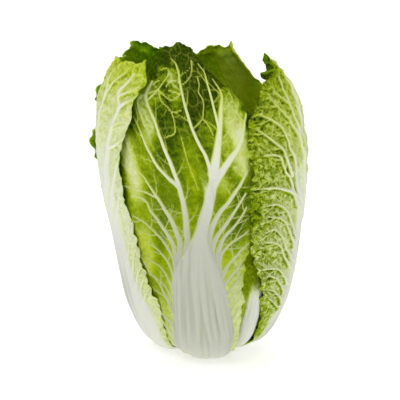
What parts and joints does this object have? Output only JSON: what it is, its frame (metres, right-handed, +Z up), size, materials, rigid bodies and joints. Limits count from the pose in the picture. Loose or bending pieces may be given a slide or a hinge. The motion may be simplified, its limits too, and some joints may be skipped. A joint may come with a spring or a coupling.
{
  "type": "napa cabbage",
  "caption": "Upright head of napa cabbage: broad pale-ribbed leaves with waved green blades, wrapped in rings round a cut stump.",
  "frame": {"origin": "centre of the stump's flat cut face, which the head stands on", "axes": "+Z up from the cut face towards the leaf tips, -Y towards the front leaf, +X towards the right leaf as seen from the front"},
  "size_m": [0.1943, 0.1877, 0.2946],
  "materials": {
    "stump": "moist cut stem, cream white, slightly fibrous",
    "outer_leaf": "waxy leaf: glossy white rib, yellow-green to deep green puckered blade with pale veins",
    "inner_leaf": "waxy pale leaf: white rib, pale yellow-green blade"
  },
  "bodies": {
    "root": {"stump": "stump", "leaf_front": "outer_leaf", "leaf_left": "outer_leaf", "leaf_right": "outer_leaf", "leaf_back_left": "outer_leaf", "leaf_back_right": "outer_leaf", "leaf_front_right": "outer_leaf", "leaf_second_1": "inner_leaf", "leaf_second_2": "inner_leaf", "leaf_second_3": "inner_leaf", "leaf_second_4": "inner_leaf", "leaf_third_1": "inner_leaf", "leaf_third_2": "inner_leaf", "leaf_third_3": "inner_leaf", "leaf_third_4": "inner_leaf", "leaf_fourth_1": "inner_leaf", "leaf_fourth_2": "inner_leaf", "leaf_fourth_3": "inner_leaf", "leaf_fifth_1": "inner_leaf", "leaf_fifth_2": "inner_leaf", "leaf_fifth_3": "inner_leaf", "leaf_heart_1": "inner_leaf", "leaf_heart_2": "inner_leaf"}
  },
  "joints": []
}
